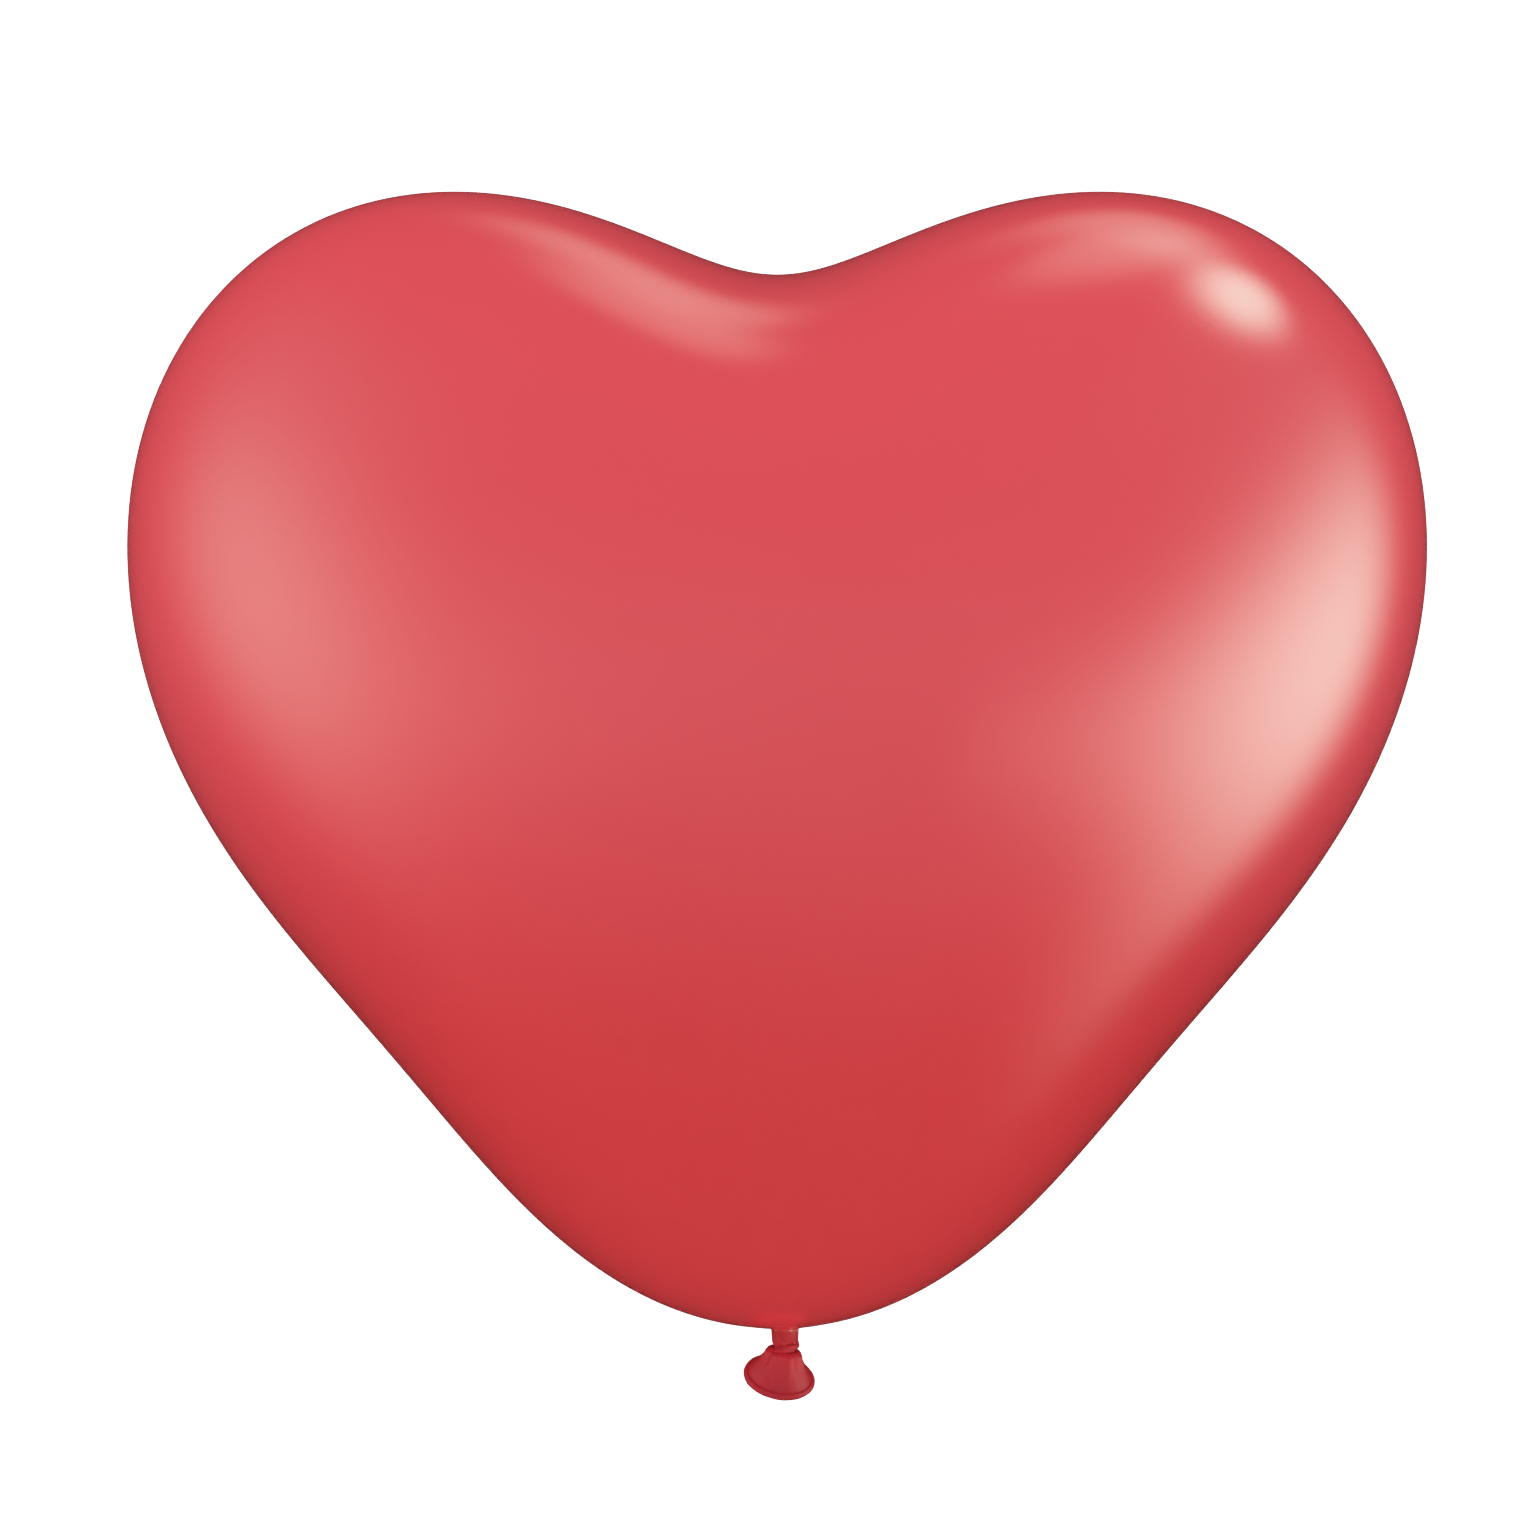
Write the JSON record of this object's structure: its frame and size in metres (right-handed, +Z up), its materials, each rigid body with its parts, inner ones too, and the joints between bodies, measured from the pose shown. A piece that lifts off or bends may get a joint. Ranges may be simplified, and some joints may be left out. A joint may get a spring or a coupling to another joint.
{
  "type": "heart-shaped balloon",
  "caption": "Inflated heart-shaped latex balloon with a tied neck, a knot that rocks and a short flared tail with a rolled lip.",
  "frame": {"origin": "middle of the waist between the skin and the knot, where a ribbon is tied", "axes": "+X across the two lobes, to the right as seen from the front; +Y from front to back, the thin direction; +Z up from the knot to the cleft"},
  "size_m": [0.2799, 0.168, 0.2603],
  "materials": {
    "stretched_latex": "satin gloss, stretched thin, slightly translucent red",
    "gathered_latex": "satin, gathered and twisted, deep red",
    "unstretched_latex": "satin, relaxed film, deep red"
  },
  "bodies": {
    "balloon": {"envelope": "stretched_latex", "neck": "gathered_latex"},
    "knot": {"knot_core": "gathered_latex", "knot_loop": "gathered_latex"},
    "tail": {"tail": "unstretched_latex", "lip_bead": "unstretched_latex"}
  },
  "joints": [
    {"name": "knot_rock", "type": "hinge", "parent": "balloon", "child": "knot", "pos_m": [0, 0, 0], "axis": [0, 1, 0], "range_deg": [-20, 20], "stiffness_Nm_per_rad": 0.001},
    {"name": "tail_rock", "type": "hinge", "parent": "knot", "child": "tail", "pos_m": [0, 0, -0.0029], "axis": [1, 0, 0], "range_deg": [-50, 25], "stiffness_Nm_per_rad": 0.0005}
  ]
}
